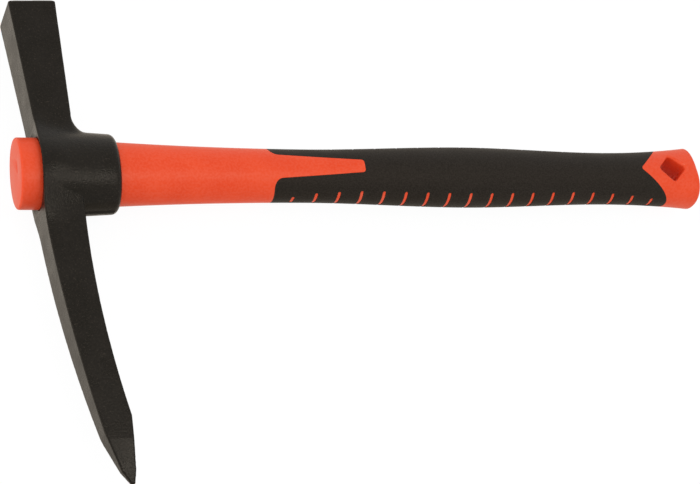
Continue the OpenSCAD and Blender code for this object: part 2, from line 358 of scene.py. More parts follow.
def prism(name: str, outline: Outline, lift: Lift, half: float) -> Piece:
    """Extrudes a flat outline to both sides of its plane.

    Args:
        name: Name of the new object.
        outline: Points of the outline.
        lift: Turns a point of the outline and a height into a point of the frame.
        half: Height of the prism to each side of the plane.

    Returns:
        The closed solid.
    """
    return loft(name, [[lift(a, b, side * half) for a, b in outline] for side in (-1, 1)])


@dataclass(frozen=True)
class Section:
    """A cross section of the handle: its place, its height and width, and the curve that leads to it."""

    place: float
    high: float
    wide: float
    lead: Curve


@dataclass
class HandleForm:
    """The oval outer form of the handle, which its body and its grip share."""

    length: float = 400.0
    button_round: float = 1.2
    butt_round: float = 1.5
    sides: int = 112
    step: float = 2.5
    rim_steps: int = 6
    egg_part: float = 0.2
    square_part: float = 0.29
    lower_part: float = 0.08
    butt_lift: float = 0.6
    sections: tuple[Section, ...] = (
        Section(0.0, 39.4, 30.0, Curve.STRAIGHT),
        Section(11.0, 39.4, 30.0, Curve.STRAIGHT),
        Section(11.2, 37.4, 29.0, Curve.STRAIGHT),
        Section(52.5, 35.7, 27.6, Curve.STRAIGHT),
        Section(156.0, 30.3, 24.8, Curve.SETTLE),
        Section(256.0, 35.3, 28.8, Curve.EASE),
        Section(341.0, 31.1, 25.6, Curve.EASE),
        Section(400.0, 36.6, 26.6, Curve.RISE),
    )

    def half_size(self, x: float) -> tuple[float, float]:
        """Gives the half height and the half width of the handle at a place along it.

        Args:
            x: Place along the handle.

        Returns:
            Half height and half width.
        """
        for a, b in zip(self.sections, self.sections[1:]):
            if x <= b.place or b is self.sections[-1]:
                t = b.lead.share((x - a.place) / (b.place - a.place))
                return mix(a.high, b.high, t) / 2, mix(a.wide, b.wide, t) / 2
        raise ValueError("the handle has no sections")

    def butt_share(self, x: float) -> float:
        """Gives how far the oval has turned into the square egg of the butt's end."""
        pinch = self.sections[-2].place
        return Curve.RISE.share(max(0.0, (x - pinch) / (self.length - pinch)))

    def ring(self, x: float, inset: float) -> Ring:
        """Gives the oval ring at a place along the handle, drawn in by an inset.

        Args:
            x: Place along the handle.
            inset: Depth of the ring under the surface, below zero for above it.

        Returns:
            Points of the ring.
        """
        high, wide = self.half_size(x)
        egg = self.egg_part * self.butt_share(x)
        lift = self.butt_lift * self.butt_share(x)
        points: Ring = []
        for turn in full_turn(self.sides):
            up, out = math.sin(turn), math.cos(turn)
            power = self.power(x, up)
            y = math.copysign(abs(up) ** power, up)
            z = math.copysign(abs(out) ** power, out)
            points.append(at(x, (high - inset) * y + lift, (wide - inset) * z * (1 - egg * up)))
        return points

    def power(self, x: float, up: float) -> float:
        """Gives the power that makes the butt squarer than an oval, most of all at its top."""
        return 1 - (self.square_part if up > 0 else self.lower_part) * self.butt_share(x)

    def surface(self, x: float, y: float) -> float:
        """Gives the half width of the handle at a place along it and a height.

        Args:
            x: Place along the handle.
            y: Height over the middle of the handle.

        Returns:
            Distance of the surface from the middle plane.
        """
        high, wide = self.half_size(x)
        y -= self.butt_lift * self.butt_share(x)
        power = self.power(x, y)
        up = math.copysign(min(1.0, abs(y) / high) ** (1 / power), y)
        return wide * (1 - up * up) ** (power / 2) * (1 - self.egg_part * self.butt_share(x) * up)

    def stretch(self, name: str, start: float, end: float, inset: float) -> Piece:
        """Models a stretch of the handle with flat ends, drawn in by an inset."""
        return loft(name, [self.ring(x, inset) for x in places(start, end, self.step)])

    def whole(self, name: str) -> Piece:
        """Models the whole handle with the rounded rims of its button and its butt.

        Args:
            name: Name of the new object.

        Returns:
            The closed solid.
        """
        turns = quarter_turn(self.rim_steps)
        small, large, end = self.button_round, self.butt_round, self.length
        front = [self.ring(small * (1 - math.cos(a)), small * (1 - math.sin(a))) for a in turns]
        back = [self.ring(end - large * (1 - math.sin(a)), large * (1 - math.cos(a))) for a in turns]
        stops = [small] + [s.place for s in self.sections[1:-1]] + [end - large]
        between = [x for a, b in zip(stops, stops[1:]) for x in places(a, b, self.step)[1:]][:-1]
        return loft(name, front + [self.ring(x, 0.0) for x in between] + back)


@dataclass
class SkinLayout:
    """Outline, slots and thickness of the soft skin, which leave the same places bare on the body."""

    form: HandleForm
    thickness: float = 2.0
    start: float = 137.0
    tongue_len: float = 53.0
    tongue_root_h: float = 14.95
    tongue_tip_h: float = 7.7
    tongue_round: float = 5.0
    butt_point: float = 362.7
    butt_rise: float = 0.5
    butt_angle: float = 44.0
    edge_round: float = 1.6
    lower_lean: float = 0.09
    gap: float = 0.12
    slot_w: float = 1.9
    slot_pitch: float = 13.0
    slot_first: float = 149.0
    slot_count: int = 18
    slot_full_share: float = 0.58
    slot_short_share: float = 0.35
    slot_lead_share: float = 0.26
    slot_fade_count: int = 4
    rib_sink: float = 0.35
    tall: float = 75.0
    arc_steps: int = 10

    def skin_end(self) -> float:
        """Gives the place where the skin has ended all round the handle."""
        reach = self.form.half_size(self.form.length)[0] + self.butt_rise
        return self.butt_point + reach / math.tan(math.radians(self.butt_angle))

    def outline(self, grow: float) -> Outline:
        """Gives the outline of the skin, seen from the side, grown by a gap.

        Args:
            grow: Gap that is added all round.

        Returns:
            Points of the outline.
        """
        run = self.tall / math.tan(math.radians(self.butt_angle))
        tip = self.start + self.tongue_len
        root_h = self.tongue_root_h / 2 - grow
        tip_h = self.tongue_tip_h / 2 - grow
        left = self.start - grow
        point = self.butt_point + grow
        return rounded(
            [
                (left, self.tall, 0),
                (left, root_h, self.tongue_round),
                (tip - grow, tip_h, self.edge_round),
                (tip - grow, -tip_h, self.edge_round),
                (left, -root_h, self.tongue_round),
                (left + self.lower_lean * self.tall, -self.tall, 0),
                (point + run, self.butt_rise - self.tall, 0),
                (point, self.butt_rise, self.edge_round),
                (point + run, self.butt_rise + self.tall, 0),
            ],
            self.arc_steps,
        )

    def space(self, name: str, grow: float) -> Piece:
        """Models the space of the skin through the whole width of the tool, grown by a gap."""
        return prism(name, self.outline(grow), at, self.tall)

    def slot_share(self, index: int) -> float:
        """Gives the part of the handle's width that a slot spans: less towards both ends of the row.

        Args:
            index: Number of the slot, from 0 at the neck.

        Returns:
            Share of the width.
        """
        if index == 0:
            return self.slot_lead_share
        nearest = min(index, self.slot_count - 1 - index)
        fade = max(0.0, 1 - nearest / self.slot_fade_count)
        return mix(self.slot_full_share, self.slot_short_share, fade ** 2)

    def slots(self, name: str, width: float) -> Piece:
        """Models the solids that cut all slots, above and below.

        Args:
            name: Name of the new object.
            width: Width of a slot.

        Returns:
            The solids, joined into one object.
        """
        solids = []
        for index in range(self.slot_count):
            x = self.slot_first + index * self.slot_pitch
            end = self.form.half_size(x)[1] * self.slot_share(index)
            half = width / 2
            corners = [(x + a * half, b * end, half) for a, b in ((-1, -1), (1, -1), (1, 1), (-1, 1))]
            outline = rounded(corners, self.arc_steps)
            solids.append(prism(f"{name}_{index}", outline, lambda a, b, h: at(a, h, b), self.tall))
        return join_solids(name, solids)


@dataclass
class HangingHole:
    """The square hanging hole in the butt, set on its corner, with a soft rim on both sides."""

    form: HandleForm
    place: float = 383.9
    rise: float = 0.8
    side: float = 12.3
    corner: float = 2.0
    tilt: float = 45.0
    rim: float = 1.5
    past: float = 2.0
    arc_steps: int = 8
    rim_steps: int = 5

    def outline(self, grow: float) -> Outline:
        """Gives the outline of the hole, grown by an offset.

        Args:
            grow: Offset that is added all round.

        Returns:
            Points of the outline, from the middle of the hole.
        """
        flat = self.side / 2 - self.corner
        radius = self.corner + grow
        slant = Matrix.Rotation(math.radians(self.tilt), 2)
        points: Outline = []
        for a, b, turn in corner_turns(self.arc_steps):
            spot = Vector((a * flat + radius * math.cos(turn), b * flat + radius * math.sin(turn)))
            points.append(tuple(slant @ spot))
        return points

    def ring(self, grow: float, depth: float, side: int) -> Ring:
        """Gives a ring of the cutting solid at a depth under the surface of the butt.

        Args:
            grow: Offset of the ring from the wall of the hole.
            depth: Depth under the surface, below zero for above it.
            side: 1 for the upper face of the butt, -1 for the lower one.

        Returns:
            Points of the ring.
        """
        ring: Ring = []
        for a, b in self.outline(grow):
            y = self.rise + b
            ring.append(at(self.place + a, y, side * (self.form.surface(self.place + a, y) - depth)))
        return ring

    def solid(self, name: str) -> Piece:
        """Models the solid that cuts the hole and rounds its rims.

        Args:
            name: Name of the new object.

        Returns:
            The closed solid.
        """
        turns = quarter_turn(self.rim_steps)
        rim = [(self.rim * (1 - math.sin(a)), self.rim * (1 - math.cos(a))) for a in turns]
        mouth = [(self.rim, -self.past)] + rim
        lower = [self.ring(grow, depth, -1) for grow, depth in mouth]
        upper = [self.ring(grow, depth, 1) for grow, depth in reversed(mouth)]
        return loft(name, lower + upper)


class NodeKit:
    """Short ways to add and wire shader nodes in one node tree."""

    def __init__(self, tree: Tree) -> None:
        """Takes the node tree to work in."""
        self.tree = tree

    def add(self, kind: str, **settings: object) -> bpy.types.Node:
        """Adds a node.

        Args:
            kind: Type of the node.
            **settings: Properties of the node.

        Returns:
            The new node.
        """
        node = self.tree.nodes.new(kind)
        for key, value in settings.items():
            setattr(node, key, value)
        return node

    def feed(self, value: Socket | Colour | float, target: Socket) -> None:
        """Links an input to the output of another node, or sets it to a plain value.

        Args:
            value: Output or plain value.
            target: Input that takes it.
        """
        if isinstance(value, Socket):
            self.tree.links.new(value, target)
        else:
            target.default_value = value

    def fill(self, node: bpy.types.Node, values: dict[str | int, Socket | Colour | float]) -> None:
        """Feeds several inputs of a node, each given by its name or its number."""
        for key, value in values.items():
            self.feed(value, node.inputs[key])

    def noise(self, where: Socket, scale: Socket | float, detail: float, rough: float = 0.5) -> Socket:
        """Adds a noise texture.

        Args:
            where: Coordinates that the noise lies on.
            scale: Number of its waves to a metre.
            detail: Number of finer layers.
            rough: Strength of each finer layer.

        Returns:
            Its value, from 0 to 1.
        """
        node = self.add("ShaderNodeTexNoise")
        self.fill(node, {"Vector": where, "Scale": scale, "Detail": detail, "Roughness": rough})
        return node.outputs["Fac"]

    def ramp(self, value: Socket, low: Socket | float, high: Socket | float, start: float = 0.0,
             end: float = 1.0) -> Socket:
        """Maps a value softly from one range to another and keeps it inside.

        Args:
            value: Value to map.
            low: Start of its range.
            high: End of its range.
            start: Start of the new range.
            end: End of the new range.

        Returns:
            The mapped value.
        """
        node = self.add("ShaderNodeMapRange", interpolation_type="SMOOTHSTEP")
        self.fill(node, {"Value": value, "From Min": low, "From Max": high, "To Min": start, "To Max": end})
        return node.outputs["Result"]

    def reckon(self, how: Reckoning, a: Socket, b: Socket | float) -> Socket:
        """Works out a value from two others.

        Args:
            how: Way to work it out.
            a: First value.
            b: Second value.

        Returns:
            The result.
        """
        node = self.add("ShaderNodeMath", operation=how.value)
        self.fill(node, {0: a, 1: b})
        return node.outputs["Value"]

    def blend(self, share: Socket, a: Socket | Colour, b: Colour) -> Socket:
        """Mixes two colours.

        Args:
            share: Share of the second colour.
            a: First colour.
            b: Second colour.

        Returns:
            The mixed colour.
        """
        node = self.add("ShaderNodeMix", data_type="RGBA")
        self.feed(share, node.inputs["Factor"])
        slots = [s for s in node.inputs if s.type == "RGBA"]
        for target, value in zip(slots, (a, b)):
            self.feed(value, target)
        return next(s for s in node.outputs if s.type == "RGBA")


def new_group(name: str, inputs: Iterable[str], outputs: Iterable[str]) -> NodeKit:
    """Starts a shader node group with numbers as its inputs and outputs.

    Args:
        name: Name of the group.
        inputs: Names of the inputs.
        outputs: Names of the outputs.

    Returns:
        A kit to fill the group.
    """
    tree = bpy.data.node_groups.new(name, "ShaderNodeTree")
    for way, keys in (("INPUT", inputs), ("OUTPUT", outputs)):
        for key in keys:
            tree.interface.new_socket(key, in_out=way, socket_type="NodeSocketFloat")
    return NodeKit(tree)


@dataclass(frozen=True)
class SurfaceEffects:
    """The node groups that all finishes share, with the values that are the same in every finish."""

    patch_detail: float = 3.0
    patch_part: float = 0.3
    grain_detail: float = 2.0
    chip_scale: float = 220.0
    chip_detail: float = 4.0
    chip_rough: float = 0.6
    chip_start: float = 0.35
    chip_full: float = 0.6
    speck_detail: float = 1.0

    def grain(self) -> Tree:
        """Builds the group for moulded or sprayed grain: slow patches, fine grain and a height for both.

        Returns:
            The group.
        """
        kit = new_group("surface_grain", ("Patch Scale", "Grain Scale"), ("Patches", "Grain", "Height"))
        given = kit.add("NodeGroupInput").outputs
        where = kit.add("ShaderNodeTexCoord").outputs["Object"]
        patches = kit.noise(where, given["Patch Scale"], self.patch_detail)
        grain = kit.noise(where, given["Grain Scale"], self.grain_detail)
        slow = kit.reckon(Reckoning.TIMES, patches, self.patch_part)
        height = kit.reckon(Reckoning.ADD, grain, slow)
        kit.fill(kit.add("NodeGroupOutput"), {"Patches": patches, "Grain": grain, "Height": height})
        return kit.tree

    def wear(self) -> Tree:
        """Builds the group for wear: a mask on worn edges and a mask of small bright specks.

        Returns:
            The group.
        """
        names = ("Edge Start", "Edge Full", "Speck Scale", "Speck Start")
        kit = new_group("edge_wear", names, ("Edges", "Specks"))
        given = kit.add("NodeGroupInput").outputs
        where = kit.add("ShaderNodeTexCoord").outputs["Object"]
        bend = kit.add("ShaderNodeNewGeometry").outputs["Pointiness"]
        edges = kit.ramp(bend, given["Edge Start"], given["Edge Full"])
        chips = kit.noise(where, self.chip_scale, self.chip_detail, self.chip_rough)
        broken = kit.reckon(Reckoning.TIMES, edges, kit.ramp(chips, self.chip_start, self.chip_full))
        specks = kit.noise(where, given["Speck Scale"], self.speck_detail)
        dots = kit.reckon(Reckoning.ABOVE, specks, given["Speck Start"])
        kit.fill(kit.add("NodeGroupOutput"), {"Edges": broken, "Specks": dots})
        return kit.tree

    def groups(self) -> dict[str, Tree]:
        """Builds both groups and gives them by name."""
        return {"grain": self.grain(), "wear": self.wear()}


@dataclass(frozen=True)
class Finish:
    """A surface finish with grain, patches and wear."""

    PATCH_RANGE: ClassVar[tuple[float, float]] = (0.3, 0.7)
    GRAIN_RANGE: ClassVar[tuple[float, float]] = (0.35, 0.65)
    GLOSS_RANGE: ClassVar[tuple[float, float]] = (0.25, 0.75)

    name: str
    base: Colour
    pale: Colour
    worn: Colour
    roughness: float
    roughness_spread: float
    patch_scale: float
    grain_scale: float
    grain_height: float
    edge_start: float
    edge_full: float
    edge_part: float
    speck_scale: float
    speck_start: float
    speck_part: float
    grain_part: float
    specular: float = 0.5
    specular_tint: Colour = WHITE

    def material(self, groups: dict[str, Tree]) -> bpy.types.Material:
        """Builds the material of this finish.

        Args:
            groups: Shared node groups by name.

        Returns:
            The new material.
        """
        made = bpy.data.materials.new(self.name)
        made.use_nodes = True
        kit = NodeKit(made.node_tree)
        grain = kit.add("ShaderNodeGroup", node_tree=groups["grain"])
        kit.fill(grain, {"Patch Scale": self.patch_scale, "Grain Scale": self.grain_scale})
        wear = kit.add("ShaderNodeGroup", node_tree=groups["wear"])
        kit.fill(wear, {"Edge Start": self.edge_start, "Edge Full": self.edge_full,
                        "Speck Scale": self.speck_scale, "Speck Start": self.speck_start})
        patches = grain.outputs["Patches"]
        colour = kit.blend(kit.ramp(patches, *self.PATCH_RANGE), self.base, self.pale)
        fine = kit.ramp(grain.outputs["Grain"], *self.GRAIN_RANGE)
        for mask, part in ((fine, self.grain_part), (wear.outputs["Edges"], self.edge_part),
                           (wear.outputs["Specks"], self.speck_part)):
            colour = kit.blend(kit.reckon(Reckoning.TIMES, mask, part), colour, self.worn)
        low = self.roughness - self.roughness_spread
        high = self.roughness + self.roughness_spread
        bump = kit.add("ShaderNodeBump")
        height = grain.outputs["Height"]
        kit.fill(bump, {"Strength": 1.0, "Distance": self.grain_height * MM, "Height": height})
        kit.fill(made.node_tree.nodes["Principled BSDF"], {
            "Base Color": colour,
            "Roughness": kit.ramp(patches, *self.GLOSS_RANGE, low, high),
            "Normal": bump.outputs["Normal"],
            "Specular IOR Level": self.specular,
            "Specular Tint": self.specular_tint,
        })
        return made


ORANGE_PLASTIC = Finish(
    name="orange_plastic", base=(0.785, 0.051, 0.0085, 1), pale=(0.825, 0.064, 0.0145, 1),
    worn=(0.90, 0.17, 0.10, 1),
    roughness=0.42, roughness_spread=0.05, patch_scale=45.0, grain_scale=800.0, grain_height=0.02,
    edge_start=0.53, edge_full=0.62, edge_part=0.5, speck_scale=900.0, speck_start=0.80, speck_part=0.15,
    grain_part=0.16, specular=0.33, specular_tint=(1, 0.95, 0.72, 1))
BLACK_RUBBER = Finish(
    name="black_rubber", base=(0.0050, 0.0042, 0.0034, 1), pale=(0.0080, 0.0067, 0.0054, 1),
    worn=(0.06, 0.05, 0.042, 1),
    roughness=0.56, roughness_spread=0.05, patch_scale=70.0, grain_scale=1500.0, grain_height=0.05,
    edge_start=0.52, edge_full=0.60, edge_part=0.4, speck_scale=1200.0, speck_start=0.78, speck_part=0.25,
    grain_part=0.2, specular=0.2, specular_tint=(1, 0.82, 0.65, 1))
HEAD_LACQUER = Finish(
    name="head_lacquer", base=(0.0028, 0.0022, 0.0016, 1), pale=(0.0048, 0.0040, 0.0032, 1),
    worn=(0.085, 0.066, 0.050, 1),
    roughness=0.29, roughness_spread=0.05, patch_scale=90.0, grain_scale=1000.0, grain_height=0.15,
    edge_start=0.53, edge_full=0.60, edge_part=0.15, speck_scale=1300.0, speck_start=0.68, speck_part=0.25,
    grain_part=0.05, specular=0.19, specular_tint=(1, 0.90, 0.76, 1))
GLASS_FIBRE = Finish(
    name="glass_fibre", base=(0.62, 0.54, 0.30, 1), pale=(0.70, 0.62, 0.38, 1),
    worn=(0.8, 0.75, 0.6, 1),
    roughness=0.5, roughness_spread=0.08, patch_scale=120.0, grain_scale=1400.0, grain_height=0.02,
    edge_start=0.53, edge_full=0.62, edge_part=0.3, speck_scale=700.0, speck_start=0.75, speck_part=0.2,
    grain_part=0.2)


class SubAssembly:
    """A part of the tool that has one finish all over."""

    FINISH: ClassVar[Finish]

    def dress(self, piece: Piece, groups: dict[str, Tree]) -> None:
        """Gives the piece its finish in place of any other."""
        piece.data.materials.clear()
        piece.data.materials.append(self.FINISH.material(groups))


@dataclass
class ForgedHead(SubAssembly):
    """The steel forging: hammer arm, eye boss with collar and curved pick."""

    FINISH = HEAD_LACQUER

    form: HandleForm
    # Boss and collar
    outer_x: float = 10.3
    eye_len: float = 42.2
    boss_h: float = 49.0
    boss_w: float = 37.6
    collar_draft: float = 3.1
    collar_round: float = 3.2
    collar_lead: float = 0.6
    boss_fade: float = 28.0
    brow_fade: float = 32.0
    rim_fade: float = 38.0
    cheek_fade: float = 26.0
    boss_round: float = 9.6
    # Eye
    mouth_flare: float = 2.6
    mouth_depth: float = 0.95
    mouth_gap: float = 1.2
    eye_gap: float = 0.2
    # Hammer arm
    hammer_reach: float = 99.3
    hammer_face: float = 25.6
    hammer_root_t: float = 20.0
    hammer_root_w: float = 21.0
    hammer_flare: float = 7.4
    slant_at: float = 24.0
    hammer_fillet: float = 8.6
    face_bevel: float = 1.4
    face_lean: float = 3.1
    # Pick and its point
    pick_reach: float = 171.5
    pick_root_t: float = 21.5
    pick_root_w: float = 19.5
    point_len: float = 34.0
    bevel_len: float = 25.3
    cheek_len: float = 22.2
    point_t: float = 16.6
    point_w: float = 11.9
    pick_bend: float = 480.0
    taper_lead: float = 6.0
    bend_lead: float = 3.0
    nose_t: float = 7.4
    nose_w: float = 4.2
    nose_len: float = 6.7
    tip_t: float = 2.0
    tip_round: float = 0.5
    nose_back: float = 0.3
    tip_back: float = 1.1
    # Edges of the arms, and the fineness of the mesh
    arm_round: float = 0.6
    step: float = 2.0
    corner_steps: int = 5
    side_steps: int = 10
    collar_sides: int = 112
    collar_steps: int = 8
    voxel: float = 0.58
    overrun: float = 3.0
    # Blend round the boss
    blend_rounds: int = 60
    blend_pull: float = 0.5
    blend_lead: float = 4.0
    blend_edge: float = 14.0
    blend_end: float = 9.0
    # Parting seam under the collar
    seam_w: float = 2.4
    seam_h: float = 0.7
    seam_fade: float = 0.3
    # Worked out from the sizes above
    slope: float = field(init=False)
    face_slope: float = field(init=False)

    def __post_init__(self) -> None:
        """Works out the slopes of the collar and of the hammer face."""
        self.slope = math.tan(math.radians(self.collar_draft))
        self.face_slope = math.tan(math.radians(self.face_lean))

    @property
    def root_at(self) -> float:
        """Distance from the handle where the fillet beside the hammer arm starts to rise."""
        return self.boss_fade / 2

    @property
    def taper_at(self) -> float:
        """Distance from the handle, below zero on this side, where the pick starts to taper."""
        return self.taper_lead - self.boss_fade

    @property
    def bend_at(self) -> float:
        """Distance from the handle, below zero on this side, where the pick starts to bend."""
        return -self.boss_fade - self.bend_lead

    @property
    def point_at(self) -> float:
        """Distance from the handle, below zero on this side, where the point of the pick starts."""
        return self.point_len - self.pick_reach

    @property
    def fillet_low(self) -> float:
        """Lower end of the fillet beside the hammer arm."""
        return self.boss_h / 2 - self.slope * (self.hammer_root_t + self.hammer_fillet)

    @property
    def fillet_top(self) -> float:
        """Upper end of the fillet beside the hammer arm."""
        return self.fillet_low + self.hammer_fillet

    @property
    def eye_end(self) -> float:
        """Place of the end of the collar along the handle."""
        return self.outer_x + self.eye_len

    @staticmethod
    def swell(y: float, fade: float) -> float:
        """Gives how much of the swell of the boss is left at a distance from the handle."""
        return (1 + math.cos(math.pi * y / fade)) / 2 if abs(y) < fade else 0.0

    def hammer_way(self, y: float) -> float:
        """Gives the share of the way from the boss to the hammer face."""
        return max(0.0, (y - self.slant_at) / (self.hammer_reach - self.slant_at))

    def pick_way(self, y: float) -> float:
        """Gives the share of the way from the boss to the root of the point."""
        return max(0.0, (self.taper_at - y) / (self.taper_at - self.point_at))

    def fillet_left(self, y: float) -> float:
        """Gives how much of the fillet is left where it has sunk into the collar."""
        return clamp((y - self.root_at) / (self.fillet_low - self.root_at))

    def fillet_out(self, y: float) -> float:
        """Gives how far the fillet beside the hammer arm reaches along the collar."""
        drop = clamp(self.fillet_top - y, 0.0, self.hammer_fillet)
        return (self.hammer_fillet - math.sqrt(self.hammer_fillet ** 2 - drop ** 2)) * self.fillet_left(y)

    def fillet_sag(self, y: float) -> float:
        """Gives how much the inner side of a ring follows the round top of the collar."""
        return clamp((self.fillet_top - y) / self.hammer_fillet) * self.fillet_left(y)

    def collar_sag(self, z: float) -> float:
        """Gives how far the top of the collar has dropped at a distance from the middle plane."""
        return self.boss_h / 2 * (1 - math.sqrt(1 - clamp(2 * abs(z) / self.boss_w) ** 2))

    def inner_side(self, y: float) -> float:
        """Gives the place of the inner side of the head at a distance from the handle.

        Args:
            y: Distance from the handle, below zero on the pick's side.

        Returns:
            Place along the handle.
        """
        ease = Curve.EASE.share(clamp((y - self.taper_at) / (self.slant_at - self.taper_at)))
        root = self.outer_x + mix(self.pick_root_t, self.hammer_root_t, ease)
        if y > self.taper_at:
            face = self.outer_x - self.hammer_flare + self.hammer_face
            return mix(root, face, self.hammer_way(y)) + self.fillet_out(y)
        return root + min(0.0, y - self.bend_at) ** 2 / (2 * self.pick_bend)

    def outer_side(self, y: float) -> float:
        """Gives the place of the outer side of the head at a distance from the handle.

        Args:
            y: Distance from the handle, below zero on the pick's side.

        Returns:
            Place along the handle.
        """
        if y > self.taper_at:
            return self.outer_x - self.hammer_flare * self.hammer_way(y)
        t = Curve.SETTLE.share(self.pick_way(y))
        return self.inner_side(y) - mix(self.pick_root_t, self.point_t, t)

    def arm_half(self, y: float) -> float:
        """Gives the half width of the arms without the cheeks of the boss.

        Args:
            y: Distance from the handle, below zero on the pick's side.

        Returns:
            Half width.
        """
        if y > 0:
            return mix(self.hammer_root_w, self.hammer_face, self.hammer_way(y)) / 2
        return mix(self.pick_root_w, self.point_w, Curve.RISE.share(self.pick_way(y))) / 2

    def halves(self, y: float) -> tuple[float, float]:
        """Gives the half widths of the head at its outer edges and on its inner side.

        Args:
            y: Distance from the handle, below zero on the pick's side.

        Returns:
            Both half widths, the outer one first.
        """
        outer = self.brow_fade if y > 0 else self.rim_fade
        inner = self.boss_fade if y > 0 else self.cheek_fade
        arm, boss = self.arm_half(y), self.boss_w / 2
        return mix(arm, boss, self.swell(y, outer)), mix(arm, boss, self.swell(y, inner))

    def ring(self, y: float, outer: float, inner: float, halves: tuple[float, float], outer_r: float,
             inner_r: float, lean: float = 0.0, sag: float = 0.0) -> Ring:
        """Gives a ring across an arm: a rectangle with round corners.

        Args:
            y: Distance from the handle, below zero on the pick's side.
            outer: Place of the outer side.
            inner: Place of the inner side.
            halves: Half widths at the outer edges and on the inner side.
            outer_r: Rounding of the outer corners.
            inner_r: Rounding of the inner corners.
            lean: Slant of the ring along the arm.
            sag: How much the inner side follows the top of the collar.

        Returns:
            Points of the ring.
        """
        corners: Outline = []
        for a, b, turn in corner_turns(self.corner_steps):
            radius = inner_r if a > 0 else outer_r
            half = halves[1] if a > 0 else halves[0]
            x = (inner - radius if a > 0 else outer + radius) + radius * math.cos(turn)
            z = b * (half - radius) + radius * math.sin(turn)
            corners.append((x, z))
        points: Ring = []
        for index, (x, z) in enumerate(corners):
            next_x, next_z = corners[(index + 1) % len(corners)]
            steps = self.side_steps if (index + 1) % (self.corner_steps + 1) == 0 else 1
            for step in range(steps):
                px, pz = mix(x, next_x, step / steps), mix(z, next_z, step / steps)
                drop = sag * self.collar_sag(pz) * (px - outer) / (inner - outer)
                points.append(at(px, y + lean * (px - (inner + outer) / 2) - drop, pz))
        return points

    def arm_ring(self, y: float) -> Ring:
        """Gives the ring that follows the outlines of the head at a distance from the handle.

        Args:
            y: Distance from the handle, below zero on the pick's side.

        Returns:
            Points of the ring.
        """
        boss = mix(self.arm_round, self.boss_round, self.swell(y, self.boss_fade))
        inner_r = max(boss, self.arm_round + self.fillet_out(y))
        lean = self.face_slope * Curve.RISE.share(self.hammer_way(y))
        outer, inner = self.outer_side(y), self.inner_side(y)
        return self.ring(y, outer, inner, self.halves(y), self.arm_round, inner_r, lean, self.fillet_sag(y))

    def point_ring(self, length: float, outer: float, inner: float, half: float, radius: float) -> Ring:
        """Gives a ring of the point at a length from its tip."""
        return self.ring(length - self.pick_reach, outer, inner, (half, half), radius, radius)

    def point_rings(self) -> list[Ring]:
        """Gives the rings of the bevelled point, from its tip to its outer bevel.

        Returns:
            The rings in order.
        """
        root = self.inner_side(self.point_at)
        nose = root - self.nose_back
        tip = nose - self.tip_back
        bevel_out = self.outer_side(self.bevel_len - self.pick_reach)
        cheek_share = (self.bevel_len - self.cheek_len) / (self.bevel_len - self.nose_len)
        rings = [
            self.point_ring(0.0, tip - self.tip_t, tip, self.tip_t / 2, self.tip_round),
            self.point_ring(self.nose_len, nose - self.nose_t, nose, self.nose_w / 2, self.tip_round),
        ]
        for length, outer in ((self.cheek_len, mix(bevel_out, nose - self.nose_t, cheek_share)),
                              (self.bevel_len, bevel_out)):
            fallen = (self.point_len - length) / (self.point_len - self.nose_len)
            half = self.arm_half(length - self.pick_reach)
            rings.append(self.point_ring(length, outer, mix(root, nose, fallen), half, self.arm_round))
        return rings

    def arms(self) -> Piece:
        """Models both arms and the cheeks of the boss from the tip of the pick to the hammer face.

        Returns:
            The closed solid.
        """
        top = self.hammer_reach
        bevel = self.face_bevel
        rings = self.point_rings()
        rings += [self.arm_ring(y) for y in places(self.point_at, top - bevel, self.step)]
        outer, inner = self.outer_side(top) + bevel, self.inner_side(top) - bevel
        half, corner = self.hammer_face / 2 - bevel, self.arm_round
        rings.append(self.ring(top, outer, inner, (half, half), corner, corner, self.face_slope))
        return loft("arms", rings)

    def collar_ring(self, x: float, inset: float) -> Ring:
        """Gives an oval ring of the collar, drawn in by an inset.

        Args:
            x: Place along the handle.
            inset: Depth of the ring under the surface.

        Returns:
            Points of the ring.
        """
        draw = self.slope * (x - self.outer_x) + inset
        high, wide = self.boss_h / 2 - draw, self.boss_w / 2 - draw
        return [at(x, high * math.sin(t), wide * math.cos(t)) for t in full_turn(self.collar_sides)]

    def collar(self) -> Piece:
        """Models the collar round the handle with its rounded end.

        Returns:
            The closed solid.
        """
        start = self.outer_x + self.collar_lead
        flat_end = self.eye_end - self.collar_round
        rings = [self.collar_ring(x, 0.0) for x in places(start, flat_end, self.step)]
        for turn in quarter_turn(self.collar_steps)[1:]:
            x = self.eye_end - self.collar_round * (1 - math.sin(turn))
            rings.append(self.collar_ring(x, self.collar_round * (1 - math.cos(turn))))
        return loft("collar", rings)

    def seam(self) -> Piece:
        """Models the trimmed parting seam of the forging along the underside of the collar.

        Returns:
            The closed solid.
        """
        rings: list[Ring] = []
        start = self.outer_x + self.hammer_root_t
        full = self.eye_end - self.collar_round
        end = self.eye_end - self.collar_round * self.seam_fade
        for x, height in ((start, self.seam_h), (full, self.seam_h), (end, 0.0)):
            turn = math.asin(clamp((x - full) / self.collar_round))
            inset = self.collar_round * (1 - math.cos(turn))
            drop = self.boss_h / 2 - self.slope * (x - self.outer_x) - inset
            low, high, half = -drop - height, -drop + self.seam_w, self.seam_w / 2
            rings.append([at(x, low, half), at(x, low, -half), at(x, high, -half), at(x, high, half)])
        return loft("seam", rings)

    def eye(self) -> Piece:
        """Models the solid that cuts the tapered eye with its widened mouth.

        Returns:
            The closed solid.
        """
        mouth, gap = self.outer_x, -self.eye_gap
        floor = mouth + self.mouth_depth
        floor_x = at(floor, 0, 0).x
        rings = [self.form.ring(x, -self.mouth_flare) for x in (mouth - self.overrun, mouth)]
        rings.append([Vector((floor_x, p.y, p.z)) for p in self.form.ring(mouth, gap)])
        stops = places(floor + self.mouth_gap, self.eye_end + self.overrun, self.step)
        rings += [self.form.ring(x, gap) for x in stops]
        return loft("eye", rings)

